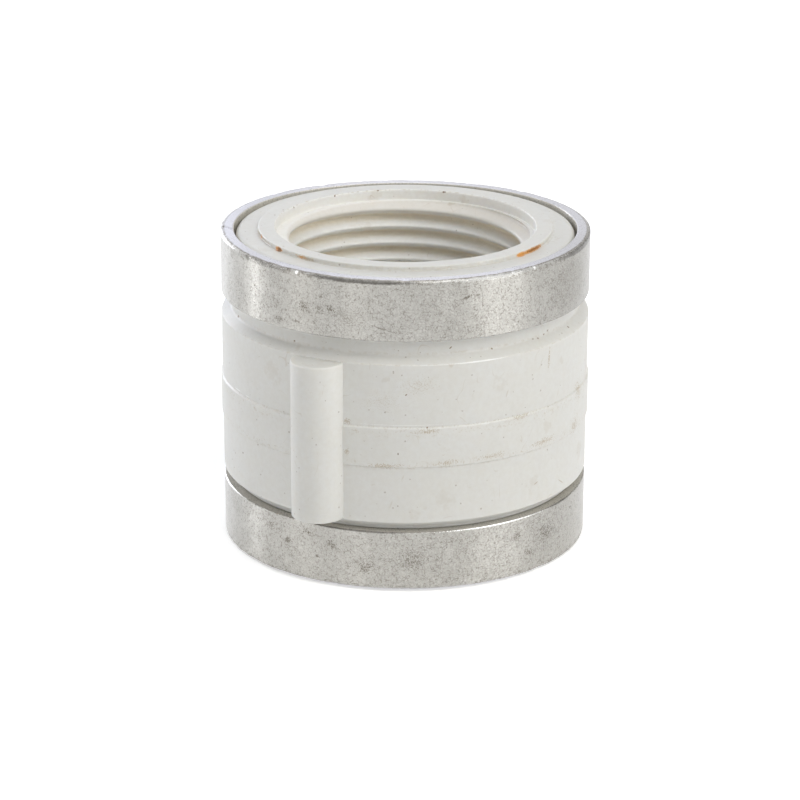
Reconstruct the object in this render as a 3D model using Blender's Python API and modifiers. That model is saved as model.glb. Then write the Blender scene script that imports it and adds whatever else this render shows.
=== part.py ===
"""Threaded conduit coupling: a moulded plastic body with a metal ring pressed on each end.

Units are metres and +Z is up. The origin lies on the axis, in the plane of the lower sealing lip.
The ribs stand on the -Y and +Y sides.
"""
import math

import bmesh
import bpy
from mathutils import Vector

# Length over both sealing lips
LENGTH = 0.0416

# Right-hand pipe thread through the whole bore, and the plain mouth in front of it
THREAD_PITCH = 0.002309
THREAD_MAJOR_RADIUS = 0.0166245
THREAD_DEPTH = 0.001479
THREAD_FLANK_ANGLE = math.radians(27.5)
MOUTH_CLEARANCE = 0.0003
MOUTH_DEPTH = 0.0014

# Wall of the body, from the bottom of the thread outwards
BODY_WALL = 0.0074

# Metal rings, flush with the wall, with their outer end rounded over
RING_HEIGHT = 0.0078
RING_WALL = 0.0017
RING_ROUND = 0.0006
RING_EDGE = 0.0001
RING_FIT_GAP = 0.0003
UPPER_RING_SETBACK = 0.0004
LOWER_RING_SETBACK = 0.0003

# Sealing lip round each mouth, and the rounded corner of the end face
LIP_WIDTH = 0.0022
LIP_HEIGHT = 0.00055
LIP_EDGE = 0.00015
END_ROUND = 0.0008

# Collar that a ring is pressed against, and the shoulder from it out to the wall
COLLAR_DEPTH = 0.00127
UPPER_COLLAR_HEIGHT = 0.0018
LOWER_COLLAR_HEIGHT = 0.0001
SHOULDER_RISE = 0.00095
SHOULDER_EDGE = 0.0002

# Raised band round the middle of the wall
BAND_HEIGHT = 0.0054
BAND_RAISE = 0.00018
BAND_OFFSET = -0.0004

# Half-round ribs on the wall
RIB_COUNT = 2
RIB_RADIUS = 0.00345
RIB_SETBACK = 0.0001

# Facets
TURNED_STEPS = 64
THREAD_STEPS = 36
ROUND_STEPS = 3
RIB_STEPS = 32
SMOOTH_ANGLE = math.radians(32.0)
MERGE_DISTANCE = 0.00001
CUTTER_OVERSHOOT = 0.001
PILOT_ALLOWANCE = 0.0006

# Places that follow from the sizes above
OUTER_RADIUS = THREAD_MAJOR_RADIUS + BODY_WALL
SEAT_RADIUS = OUTER_RADIUS - RING_WALL - RING_FIT_GAP
THREAD_MINOR_RADIUS = THREAD_MAJOR_RADIUS - THREAD_DEPTH
FLANK_HEIGHT = THREAD_DEPTH * math.tan(THREAD_FLANK_ANGLE)
THREAD_FLAT = THREAD_PITCH / 2.0 - FLANK_HEIGHT
PILOT_RADIUS = THREAD_MINOR_RADIUS - PILOT_ALLOWANCE
MOUTH_RADIUS = THREAD_MAJOR_RADIUS + MOUTH_CLEARANCE
LIP_RADIUS = MOUTH_RADIUS + LIP_WIDTH
COLLAR_RADIUS = OUTER_RADIUS - COLLAR_DEPTH
UPPER_RING_TOP_Z = LENGTH - UPPER_RING_SETBACK
UPPER_STEP_Z = UPPER_RING_TOP_Z - RING_HEIGHT - RING_FIT_GAP
LOWER_STEP_Z = LOWER_RING_SETBACK + RING_HEIGHT + RING_FIT_GAP
WALL_TOP_Z = UPPER_STEP_Z - UPPER_COLLAR_HEIGHT - SHOULDER_RISE
WALL_BOTTOM_Z = LOWER_STEP_Z + LOWER_COLLAR_HEIGHT + SHOULDER_RISE
BAND_Z = (WALL_TOP_Z + WALL_BOTTOM_Z) / 2.0 + BAND_OFFSET


def clear_scene():
    """Remove every object that the file opened with."""
    for obj in list(bpy.data.objects):
        bpy.data.objects.remove(obj, do_unlink=True)


def make_collection(name):
    """Return a new collection linked to the scene."""
    collection = bpy.data.collections.new(name)
    bpy.context.scene.collection.children.link(collection)
    return collection


def make_material(name, colour, roughness, metallic):
    """Return a plain Principled material."""
    material = bpy.data.materials.new(name)
    material.use_nodes = True
    shader = material.node_tree.nodes["Principled BSDF"]
    shader.inputs["Base Color"].default_value = (*colour, 1.0)
    shader.inputs["Roughness"].default_value = roughness
    shader.inputs["Metallic"].default_value = metallic
    return material


def turned(name, outline, collection, steps=TURNED_STEPS):
    """Turn a closed outline of (radius, height) points, which runs down its outer side."""
    mesh = bpy.data.meshes.new(name)
    points = [(radius, 0.0, height) for radius, height in outline]
    edges = [(i, (i + 1) % len(points)) for i in range(len(points))]
    mesh.from_pydata(points, edges, [])
    obj = bpy.data.objects.new(name, mesh)
    collection.objects.link(obj)
    screw = obj.modifiers.new("Turn", "SCREW")
    screw.axis = "Z"
    screw.steps = steps
    screw.render_steps = steps
    screw.use_merge_vertices = True
    screw.merge_threshold = MERGE_DISTANCE
    return obj


def cylinder(name, radius, low, high, collection, steps=TURNED_STEPS, centre=(0.0, 0.0)):
    """Make an upright cylinder between two heights."""
    mesh = bpy.data.meshes.new(name)
    bm = bmesh.new()
    bmesh.ops.create_cone(bm, cap_ends=True, segments=steps, radius1=radius, radius2=radius, depth=high - low)
    bmesh.ops.translate(bm, verts=bm.verts, vec=Vector((*centre, (low + high) / 2.0)))
    bm.to_mesh(mesh)
    bm.free()
    obj = bpy.data.objects.new(name, mesh)
    collection.objects.link(obj)
    return obj


def thread_tap(name, crest_z, low, high, collection):
    """Make a solid right-hand tap that reaches past two heights.

    Its thread leaves a crest in the bore at crest_z on the -Y side, where the outline starts to turn.
    """
    turns_below = math.ceil((crest_z - low) / THREAD_PITCH) + 1
    turns = turns_below + math.ceil((high - crest_z) / THREAD_PITCH) + 1
    top = crest_z - turns_below * THREAD_PITCH + THREAD_FLAT / 2.0 + THREAD_PITCH
    heights = [
        (THREAD_MINOR_RADIUS, top),
        (THREAD_MINOR_RADIUS, top - THREAD_FLAT),
        (THREAD_MAJOR_RADIUS, top - THREAD_FLAT - FLANK_HEIGHT),
        (THREAD_MAJOR_RADIUS, top - 2.0 * THREAD_FLAT - FLANK_HEIGHT),
        (THREAD_MINOR_RADIUS, top - THREAD_PITCH),
    ]
    mesh = bpy.data.meshes.new(name)
    bm = bmesh.new()
    verts = [bm.verts.new((0.0, -radius, height)) for radius, height in heights]
    edges = [bm.edges.new(pair) for pair in zip(verts, verts[1:])]
    steps = turns * THREAD_STEPS
    bmesh.ops.spin(
        bm,
        geom=verts + edges,
        cent=(0.0, 0.0, 0.0),
        axis=(0.0, 0.0, 1.0),
        dvec=(0.0, 0.0, THREAD_PITCH / THREAD_STEPS),
        angle=2.0 * math.pi * turns,
        steps=steps,
        use_merge=False,
        use_normal_flip=False,
        use_duplicate=False,
    )
    bmesh.ops.remove_doubles(bm, verts=bm.verts, dist=MERGE_DISTANCE)
    rims = [edge for edge in bm.edges if edge.is_boundary]
    caps = bmesh.ops.holes_fill(bm, edges=rims, sides=0)["faces"]
    bmesh.ops.poke(bm, faces=caps)
    bmesh.ops.recalc_face_normals(bm, faces=bm.faces)
    bm.to_mesh(mesh)
    bm.free()
    obj = bpy.data.objects.new(name, mesh)
    collection.objects.link(obj)
    return obj


def hide_cutter(obj):
    """Keep a tool shape out of the model."""
    obj.hide_render = True
    obj.display_type = "WIRE"


def add_boolean(obj, tool, operation):
    """Cut or join with the exact solver."""
    modifier = obj.modifiers.new(tool.name, "BOOLEAN")
    modifier.operation = operation
    modifier.solver = "EXACT"
    modifier.object = tool
    hide_cutter(tool)


def freeze(obj, material):
    """Replace an object's mesh by its evaluated shape, welded and shaded smooth with sharp edges."""
    depsgraph = bpy.context.evaluated_depsgraph_get()
    mesh = bpy.data.meshes.new_from_object(obj.evaluated_get(depsgraph))
    bm = bmesh.new()
    bm.from_mesh(mesh)
    bmesh.ops.remove_doubles(bm, verts=bm.verts, dist=MERGE_DISTANCE)
    bm.to_mesh(mesh)
    bm.free()
    obj.modifiers.clear()
    obj.data = mesh
    mesh.name = obj.name
    mesh.materials.clear()
    mesh.materials.append(material)
    mesh.shade_smooth()
    mesh.set_sharp_from_angle(angle=SMOOTH_ANGLE)


def end_outline(face_z, inward):
    """Outline of one end, from the bore over the lip and the end face to the ring seat.

    face_z is the height of the lip's face, and inward is -1 at the top end and 1 at the bottom end.
    """
    end_z = face_z + inward * LIP_HEIGHT
    points = [
        (PILOT_RADIUS, face_z),
        (LIP_RADIUS - LIP_EDGE, face_z),
        (LIP_RADIUS, face_z + inward * LIP_EDGE),
        (LIP_RADIUS, end_z - inward * LIP_EDGE),
        (LIP_RADIUS + LIP_EDGE, end_z),
    ]
    for step in range(ROUND_STEPS + 1):
        angle = 0.5 * math.pi * step / ROUND_STEPS
        radius = SEAT_RADIUS - END_ROUND + END_ROUND * math.sin(angle)
        height = end_z + inward * END_ROUND * (1.0 - math.cos(angle))
        points.append((radius, height))
    return points


def shoulder_outline(step_z, edge_z):
    """Step from the ring seat out to the collar, then the sloped shoulder out to the wall's broken edge."""
    foot_z = edge_z + math.copysign(SHOULDER_RISE, step_z - edge_z)
    slope = (foot_z - edge_z) / COLLAR_DEPTH
    into_wall = math.copysign(SHOULDER_EDGE, edge_z - foot_z)
    return [
        (SEAT_RADIUS, step_z),
        (COLLAR_RADIUS, step_z),
        (COLLAR_RADIUS, foot_z),
        (OUTER_RADIUS - SHOULDER_EDGE, edge_z + slope * SHOULDER_EDGE),
        (OUTER_RADIUS, edge_z + into_wall),
    ]


def band_outline():
    """Raised band round the wall, with sloped edges."""
    top = BAND_Z + BAND_HEIGHT / 2.0
    bottom = BAND_Z - BAND_HEIGHT / 2.0
    return [
        (OUTER_RADIUS, top),
        (OUTER_RADIUS + BAND_RAISE, top - BAND_RAISE),
        (OUTER_RADIUS + BAND_RAISE, bottom + BAND_RAISE),
        (OUTER_RADIUS, bottom),
    ]


def build_body(parts, tools, material):
    """Turn the body, join its ribs, tap it and open a plain mouth at each end."""
    outline = end_outline(LENGTH, -1)
    outline += shoulder_outline(UPPER_STEP_Z, WALL_TOP_Z)
    outline += band_outline()
    outline += reversed(shoulder_outline(LOWER_STEP_Z, WALL_BOTTOM_Z))
    outline += reversed(end_outline(0.0, 1))
    body = turned("coupling_body", outline, parts)
    for index in range(RIB_COUNT):
        angle = 2.0 * math.pi * index / RIB_COUNT - math.pi / 2.0
        centre = (OUTER_RADIUS * math.cos(angle), OUTER_RADIUS * math.sin(angle))
        low = WALL_BOTTOM_Z + RIB_SETBACK
        high = WALL_TOP_Z - RIB_SETBACK
        rib = cylinder(f"rib_tool_{index + 1}", RIB_RADIUS, low, high, tools, RIB_STEPS, centre)
        add_boolean(body, rib, "UNION")
    tap = thread_tap("thread_tool", LENGTH - MOUTH_DEPTH, 0.0, LENGTH, tools)
    add_boolean(body, tap, "DIFFERENCE")
    upper = cylinder("upper_mouth_tool", MOUTH_RADIUS, LENGTH - MOUTH_DEPTH, LENGTH + CUTTER_OVERSHOOT, tools)
    add_boolean(body, upper, "DIFFERENCE")
    lower = cylinder("lower_mouth_tool", MOUTH_RADIUS, -CUTTER_OVERSHOOT, MOUTH_DEPTH, tools)
    add_boolean(body, lower, "DIFFERENCE")
    freeze(body, material)
    return body


def build_ring(name, face_z, inward, parts, material):
    """Turn one metal ring, rounded at its open end and sharp at the end that meets the collar.

    face_z is the height of the open end, and inward is -1 for the upper ring and 1 for the lower ring.
    """
    collar_z = face_z + inward * RING_HEIGHT
    outline = [(OUTER_RADIUS - RING_WALL, face_z)]
    for step in range(ROUND_STEPS + 1):
        angle = 0.5 * math.pi * step / ROUND_STEPS
        radius = OUTER_RADIUS - RING_ROUND + RING_ROUND * math.sin(angle)
        height = face_z + inward * RING_ROUND * (1.0 - math.cos(angle))
        outline.append((radius, height))
    outline += [
        (OUTER_RADIUS, collar_z - inward * RING_EDGE),
        (OUTER_RADIUS - RING_EDGE, collar_z),
        (OUTER_RADIUS - RING_WALL, collar_z),
    ]
    if inward > 0:
        outline.reverse()
    ring = turned(name, outline, parts)
    freeze(ring, material)
    return ring


def main():
    """Build the coupling."""
    clear_scene()
    parts = make_collection("conduit_coupling")
    tools = make_collection("cutters")
    plastic = make_material("body_plastic", (0.68, 0.68, 0.65), 0.42, 0.0)
    upper_metal = make_material("upper_ring_metal", (0.66, 0.66, 0.66), 0.36, 1.0)
    lower_metal = make_material("lower_ring_metal", (0.64, 0.64, 0.64), 0.38, 1.0)
    build_body(parts, tools, plastic)
    build_ring("upper_ring", UPPER_RING_TOP_Z, -1, parts, upper_metal)
    build_ring("lower_ring", LOWER_RING_SETBACK, 1, parts, lower_metal)


main()
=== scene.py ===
"""Looks of a threaded conduit coupling: a moulded plastic body with a metal ring pressed on each end.

Everything is in metres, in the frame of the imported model, with the axis of the coupling on +Z.
"""
import math

import bmesh
import bpy
from mathutils import Matrix, Vector
from mathutils.noise import noise


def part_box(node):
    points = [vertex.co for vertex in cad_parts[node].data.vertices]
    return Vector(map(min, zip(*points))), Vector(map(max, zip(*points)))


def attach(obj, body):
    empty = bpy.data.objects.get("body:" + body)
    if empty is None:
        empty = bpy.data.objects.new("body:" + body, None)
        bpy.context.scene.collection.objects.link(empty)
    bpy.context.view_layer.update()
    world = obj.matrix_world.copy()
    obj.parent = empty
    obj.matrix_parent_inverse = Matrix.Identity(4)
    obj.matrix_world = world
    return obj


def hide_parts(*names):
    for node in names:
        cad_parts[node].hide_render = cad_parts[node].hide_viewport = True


bl_info = {
    "name": "Conduit Coupling",
    "version": (1, 0, 0),
    "blender": (4, 5, 0),
    "location": "View3D > Sidebar > Coupling",
    "description": "Builds a threaded conduit coupling with pressed metal rings, its finishes and its studio",
    "category": "Add Mesh",
}

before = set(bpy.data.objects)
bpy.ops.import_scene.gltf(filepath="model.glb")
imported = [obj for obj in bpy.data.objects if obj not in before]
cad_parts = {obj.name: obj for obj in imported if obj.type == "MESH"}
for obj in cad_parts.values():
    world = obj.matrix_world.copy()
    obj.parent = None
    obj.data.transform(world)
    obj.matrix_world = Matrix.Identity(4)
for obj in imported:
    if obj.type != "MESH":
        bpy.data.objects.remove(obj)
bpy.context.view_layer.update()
BODY_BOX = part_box("coupling_body")
UPPER_RING_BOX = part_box("upper_ring")
LOWER_RING_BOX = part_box("lower_ring")

MM = 0.001
MERGE_DISTANCE = 0.000004
CORNER_STEPS = 4
FULL_TURN = 2.0 * math.pi
FRONT_ANGLE = -90.0
CAMERA_ANGLE = 26.9


# Properties

def length(label, description, default):
    """Declare a length in metres."""
    return bpy.props.FloatProperty(
        name=label, description=description, default=default, precision=5, subtype="DISTANCE", unit="LENGTH"
    )


def angle(label, description, degrees):
    """Declare an angle."""
    return bpy.props.FloatProperty(
        name=label, description=description, default=math.radians(degrees), subtype="ANGLE", unit="ROTATION"
    )


def share(label, description, default):
    """Declare a number from 0 to 1."""
    return bpy.props.FloatProperty(
        name=label, description=description, default=default, min=0.0, max=1.0, subtype="FACTOR"
    )


def count(label, description, default):
    """Declare a whole number."""
    return bpy.props.IntProperty(name=label, description=description, default=default, min=1)


def colour(label, description, default):
    """Declare a colour."""
    return bpy.props.FloatVectorProperty(
        name=label, description=description, default=default, size=3, min=0.0, max=1.0, subtype="COLOR"
    )


class CouplingBodySizes(bpy.types.PropertyGroup):
    """Sizes of the moulded body."""

    total: length("Length", "Length over both sealing lips", BODY_BOX[1].z - BODY_BOX[0].z)
    outer_radius: length("Wall radius", "Radius of the wall and of the rings", UPPER_RING_BOX[1].x)
    thread_pitch: length("Thread pitch", "Rise of the thread in one turn", 0.002309)
    thread_major: length("Thread major radius", "Radius at the bottom of the thread", 0.0166245)
    thread_depth: length("Thread depth", "Height of the ridge", 0.001479)
    thread_round: length("Thread rounding", "Radius at the crest and at the root", 0.000317)
    flank_angle: angle("Flank angle", "Half the angle between two flanks", 27.5)
    mouth_clearance: length("Mouth clearance", "Gap from the thread's major radius to the mouth", 0.0003)
    mouth_depth: length("Mouth depth", "Depth of the plain mouth", 0.0014)
    lip_width: length("Lip width", "Width of the sealing lip", 0.0022)
    lip_height: length("Lip height", "Height of the lip over the end face", 0.00055)
    seat_depth: length("Seat depth", "Step from the wall to the ring seat", 0.002)
    end_round: length("End rounding", "Radius of the outer corner of the end face", 0.0008)
    fit_gap: length("Fit gap", "Clearance between the end of a ring and the body", 0.0001)
    collar_depth: length("Collar depth", "Step from the wall to the collar that carries a ring", 0.00127)
    upper_collar: length("Upper collar", "Height of the collar under the upper ring", 0.002)
    lower_collar: length("Lower collar", "Height of the collar over the lower ring", 0.0003)
    shoulder_rise: length("Shoulder rise", "Height of a shoulder", 0.00095)
    band_height: length("Band height", "Height of the raised band", 0.0054)
    band_raise: length("Band raise", "How far the band stands proud", 0.00018)
    band_offset: length("Band offset", "Height of the band over the middle of the wall", -0.0004)
    rib_count: count("Ribs", "Number of ribs round the wall", 2)
    rib_radius: length("Rib radius", "Radius of a half-round rib", 0.00345)
    rib_setback: length("Rib setback", "From the end of a rib to the edge of the wall", 0.0001)
    edge_round: length("Edge rounding", "Radius of the moulded edges", 0.0002)
    turned_steps: count("Steps", "Facets round the body", 256)
    thread_steps: count("Thread steps", "Facets in one turn of the thread", 144)
    thread_points: count("Thread points", "Facets across one ridge of the thread", 16)


class CouplingRingSizes(bpy.types.PropertyGroup):
    """Sizes of the pressed metal rings."""

    outer_radius: length("Outer radius", "Radius of the rings", UPPER_RING_BOX[1].x)
    wall: length("Wall", "Thickness of a ring", 0.0017)
    bevel_width: length("Bevel width", "Width of the bevel round the open end", 0.0004)
    bevel_height: length("Bevel height", "Height of the bevel round the open end", 0.0002)
    edge_round: length("Edge rounding", "Radius of the edges", 0.0001)
    row_height: length("Row height", "Height of one row of facets", 0.00026)
    waviness: length("Waviness", "Depth of the dents of handling", 0.00003)
    edge_wear: length("Edge wear", "Depth of the nicks along the open end", 0.00009)
    side_rise: length("Side rise", "How far the open end stands higher at its two sides", 0.0003)
    far_drop: length("Far drop", "How far the open end stands lower at the far side", 0.00012)
    turned_steps: count("Steps", "Facets round a ring", 480)


class CouplingFinish(bpy.types.PropertyGroup):
    """Colours and finishes."""

    plastic: colour("Plastic", "Moulded plastic", (0.755, 0.753, 0.727))
    plastic_depth: length("Plastic depth", "How far light spreads under the surface", 0.0012)
    plastic_roughness: share("Plastic roughness", "Roughness of the moulded plastic", 0.38)
    metal: colour("Metal", "Bare metal of the rings", (0.440, 0.431, 0.409))
    metal_roughness: share("Metal roughness", "Roughness of the rings", 0.30)
    metal_brushing: share("Metal brushing", "How far the turning marks stretch the shine", 0.85)
    # Painted fill light: the bore is the same plastic, made paler so that its shade renders lighter.
    bore: colour("Bore", "Moulded plastic inside the bore", (0.93, 0.924, 0.895))
    # Painted light: the roots' warm, light tint stands in for light bounced warm into the thread's shade.
    painted_root_light: colour("Thread roots", "Plastic at the bottom of the thread", (0.95, 0.885, 0.76))
    # Partly painted light: the inner side and the collar end are duller metal, given a light beige colour
    # that lifts their shade.
    lightened_inner_metal: colour("Inner metal", "Unworked inner side of the rings", (0.66, 0.63, 0.565))
    # Painted reflection: the rim's lighter, bluish colour stands in for the sheen of light on the flat rim.
    rim: colour("Rim", "Flat rim of a ring", (0.52, 0.518, 0.56))
    # This colour is painted highlight: the bright glints laid on the rings' edges and on edges of the
    # plastic.
    painted_highlight: colour("Glint", "Burrs along the bevel", (0.95, 0.95, 0.93))
    grime: colour("Grime", "Dirt in the seams", (0.21, 0.135, 0.07))
    # This colour also carries the painted shade along the plastic's seams.
    smear_and_shade: colour("Smear", "Thin smears of dirt", (0.46, 0.375, 0.26))
    rust: colour("Rust", "Rust left on the sealing lip", (0.74, 0.32, 0.03))
    dark_rust: colour("Dark rust", "Scale in the middle of the rust", (0.20, 0.075, 0.012))


class CouplingStudio(bpy.types.PropertyGroup):
    """Camera, floor and lamps."""

    azimuth: angle("Azimuth", "Where the camera stands round the coupling", CAMERA_ANGLE)
    pitch: angle("Pitch", "How far the camera looks down", 19.5436)
    roll: angle("Roll", "Turn of the camera about its own axis", 0.1897)
    distance: length("Distance", "From the camera to its target", 0.37951)
    target_side: length("Target side", "Target beside the axis", -0.000626)
    target_height: length("Target height", "Target over the floor", 0.01733)
    lens: bpy.props.FloatProperty(name="Lens", description="Focal length", default=128.63, unit="CAMERA")
    floor_radius: length("Floor radius", "Radius of the floor", 4.0)


# Mesh helpers

def link(obj):
    """Put an object into the scene."""
    bpy.context.scene.collection.objects.link(obj)
    return obj


def rounded_outline(corners, segments=CORNER_STEPS, guard=0.00006):
    """Round the corners of a closed outline of (radius, height, rounding), with guard points beside them."""
    points = []
    for index, (x, y, rounding) in enumerate(corners):
        corner = Vector((x, y))
        if rounding <= 0.0:
            points.append(corner)
            continue
        before = corner - Vector(corners[index - 1][:2])
        after = Vector(corners[(index + 1) % len(corners)][:2]) - corner
        turn = before.angle(after)
        reach = rounding * math.tan(turn / 2.0)
        start = corner - before.normalized() * reach
        end = corner + after.normalized() * reach
        room = min(before.length, after.length) / 2.0 - reach
        if room > guard:
            points.append(start - before.normalized() * guard)
        for step in range(segments + 1):
            t = step / segments
            points.append(start * (1 - t) ** 2 + corner * 2 * t * (1 - t) + end * t * t)
        if room > guard:
            points.append(end + after.normalized() * guard)
    return points


def split_long_sides(points, longest):
    """Add points so that no side of a closed outline is too long, and a level side half as long."""
    result = []
    for index, point in enumerate(points):
        following = points[(index + 1) % len(points)]
        level = abs(following.y - point.y) < MERGE_DISTANCE
        pieces = max(1, math.ceil((following - point).length / longest * (2.0 if level else 1.0)))
        result += [point.lerp(following, step / pieces) for step in range(pieces)]
    return result


def even_turns(steps):
    """Angles of evenly spaced steps round the axis."""
    return [FULL_TURN * step / steps for step in range(steps)]


def crowded_turns(steps, middle, reach, finer):
    """Evenly spaced angles, with more of them within reach of one angle."""
    width = FULL_TURN / steps
    middle %= FULL_TURN
    turns = []
    for turn in even_turns(steps):
        near = abs(turn + 0.5 * width - middle) < reach
        pieces = finer if near else 1
        turns += [turn + width * piece / pieces for piece in range(pieces)]
    return turns


def turned_mesh(name, outline, turns):
    """Turn a closed outline of (radius, height) points about +Z into one closed mesh."""
    mesh = bpy.data.meshes.new(name)
    verts = []
    for turn in turns:
        verts += [(x * math.cos(turn), x * math.sin(turn), z) for x, z in outline]
    faces = []
    rows = len(outline)
    steps = len(turns)
    for step in range(steps):
        here = step * rows
        there = (step + 1) % steps * rows
        for row in range(rows):
            following = (row + 1) % rows
            faces.append((here + row, here + following, there + following, there + row))
    mesh.from_pydata(verts, [], faces)
    return mesh


def tidy_mesh(mesh, smooth_degrees=32.0):
    """Weld a closed mesh, turn its faces outwards and shade it smooth with sharp edges."""
    bm = bmesh.new()
    bm.from_mesh(mesh)
    bmesh.ops.remove_doubles(bm, verts=bm.verts, dist=MERGE_DISTANCE)
    bmesh.ops.recalc_face_normals(bm, faces=bm.faces)
    open_edges = sum(1 for edge in bm.edges if not edge.is_manifold)
    bm.to_mesh(mesh)
    bm.free()
    if open_edges:
        raise RuntimeError(f"{mesh.name} has {open_edges} open edges")
    mesh.shade_smooth()
    mesh.set_sharp_from_angle(angle=math.radians(smooth_degrees))
    return mesh


def plain_mesh(obj, name):
    """Return the evaluated shape of an object as a mesh of its own."""
    depsgraph = bpy.context.evaluated_depsgraph_get()
    depsgraph.update()
    mesh = bpy.data.meshes.new_from_object(obj.evaluated_get(depsgraph), depsgraph=depsgraph)
    mesh.name = name
    return mesh


# Node trees

SOCKETS = {
    float: "NodeSocketFloat", int: "NodeSocketInt", tuple: "NodeSocketVector",
    type(None): "NodeSocketMaterial",
}
OUTPUT_SOCKETS = {"ShaderNodeTree": "NodeSocketFloat", "GeometryNodeTree": "NodeSocketGeometry"}
ORIGIN = (0.0, 0.0, 0.0)
WHITE = (1.0, 1.0, 1.0, 1.0)


class Net:
    """A node tree with short ways to add to it. A value is a constant or another node's socket."""

    def __init__(self, tree):
        """Keep the tree."""
        self.tree = tree

    def feed(self, socket, value):
        """Give an input a constant, or link it to another node's socket."""
        if isinstance(value, bpy.types.NodeSocket):
            self.tree.links.new(value, socket)
        else:
            socket.default_value = value

    def add(self, kind, feeds=None, **settings):
        """Add a node, set its options and feed its inputs."""
        node = self.tree.nodes.new(kind)
        for key, value in settings.items():
            setattr(node, key, value)
        for key, value in (feeds or {}).items():
            self.feed(node.inputs[key], value)
        return node

    def group(self, name, feeds):
        """Outputs of a shader group, which is built when it is first asked for."""
        group = bpy.data.node_groups.get(name) or SHADER_GROUPS[name]()
        return self.add("ShaderNodeGroup", feeds, node_tree=group).outputs

    def math(self, operation, *values, clamp=False):
        """Result of a Math node."""
        feeds = dict(enumerate(values))
        return self.add("ShaderNodeMath", feeds, operation=operation, use_clamp=clamp).outputs[0]

    def vector(self, operation, feeds):
        """Outputs of a Vector Math node."""
        return self.add("ShaderNodeVectorMath", feeds, operation=operation).outputs

    def point(self, x, y, z):
        """Vector of three values."""
        return self.add("ShaderNodeCombineXYZ", {0: x, 1: y, 2: z}).outputs[0]

    def plus(self, first, second):
        """Sum of two values."""
        return self.math("ADD", first, second)

    def minus(self, first, second):
        """Difference of two values."""
        return self.math("SUBTRACT", first, second)

    def times(self, first, second):
        """Product of two values."""
        return self.math("MULTIPLY", first, second)

    def strongest(self, *masks):
        """Strongest of several masks."""
        result = masks[0]
        for mask in masks[1:]:
            result = self.math("MAXIMUM", result, mask)
        return result

    def apart(self, first, second):
        """Distance between two values."""
        return self.math("ABSOLUTE", self.minus(first, second))

    def rising(self, value, low, high, to_low=0.0, to_high=1.0, kind="LINEAR"):
        """Map a range of values to 0 at its low end and 1 at its high end, or to another range, clamped."""
        feeds = {"Value": value, "From Min": low, "From Max": high, "To Min": to_low, "To Max": to_high}
        return self.add("ShaderNodeMapRange", feeds, interpolation_type=kind, clamp=True).outputs[0]

    def falling(self, value, low, high, kind="LINEAR"):
        """Map a range of values to 1 at its low end and 0 at its high end, clamped."""
        return self.rising(value, low, high, 1.0, 0.0, kind)

    def mix(self, factor, first, second):
        """Mix of two colours."""
        feeds = {0: factor, 6: first, 7: second}
        return self.add("ShaderNodeMix", feeds, data_type="RGBA").outputs[2]

    def layered(self, base, layers):
        """Colours laid over a base, each given as (mask, strength, colour)."""
        for mask, strength, tint in layers:
            base = self.mix(self.times(mask, strength), base, rgba(tint))
        return base

    def noise(self, position, scale, detail=2.0, roughness=0.5, distortion=0.0):
        """Value of a noise texture."""
        return self.add("ShaderNodeTexNoise", {
            "Vector": position, "Scale": scale, "Detail": detail, "Roughness": roughness,
            "Distortion": distortion,
        }).outputs[0]


def rgba(values):
    """Return a colour with full alpha."""
    return (*values, 1.0)


def new_group(name, inputs, outputs, kind="ShaderNodeTree"):
    """Start a node group and return it with the sockets it is given and the sockets it gives.

    Inputs are named with their defaults, which set their types. A material's default is None.
    """
    tree = bpy.data.node_groups.new(name, kind)
    for label, default in inputs.items():
        socket = tree.interface.new_socket(label, in_out="INPUT", socket_type=SOCKETS[type(default)])
        if default is not None:
            socket.default_value = default
    for label in outputs:
        tree.interface.new_socket(label, in_out="OUTPUT", socket_type=OUTPUT_SOCKETS[kind])
    net = Net(tree)
    return net, net.add("NodeGroupInput").outputs, net.add("NodeGroupOutput").inputs


# Shader groups

# Shares of a speck's or a mark's reach, grain levels, and finenesses against a group's own scale
SPECK_CORE = 0.55
SPECK_LEAST = 0.4
SPECK_BITS = 4.0
MARK_CORE = 0.6
MARK_GRAIN = 0.36
SCRATCH_PATCHES = 1.7
FIBRE_PATCHES = 0.7
PATCH_EDGE = 0.08


def group_around_axis():
    """Place on a turned part: its radius, its height and its angle round +Z."""
    net, given, result = new_group("around_axis", {"Position": ORIGIN}, ["Radius", "Height", "Angle"])
    x, y, z = net.add("ShaderNodeSeparateXYZ", {0: given["Position"]}).outputs
    square = net.math("MULTIPLY_ADD", x, x, net.times(y, y))
    net.feed(result["Radius"], net.math("SQRT", square))
    net.feed(result["Height"], z)
    net.feed(result["Angle"], net.math("ARCTAN2", y, x))
    return net.tree


def group_grain():
    """Fine and coarse grain of a worked surface, from 0 to 1."""
    net, given, result = new_group("worked_grain", {
        "Position": ORIGIN, "Fine Scale": 4000.0, "Coarse Scale": 300.0, "Coarse Share": 0.3, "Contrast": 1.0,
    }, ["Value"])
    fine = net.noise(given["Position"], given["Fine Scale"], 2.0, 0.6)
    coarse = net.noise(given["Position"], given["Coarse Scale"], 3.0, 0.55)
    mixed = net.math("MULTIPLY_ADD", net.minus(coarse, fine), given["Coarse Share"], fine)
    value = net.math("MULTIPLY_ADD", net.minus(mixed, 0.5), given["Contrast"], 0.5, clamp=True)
    net.feed(result["Value"], value)
    return net.tree


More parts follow.
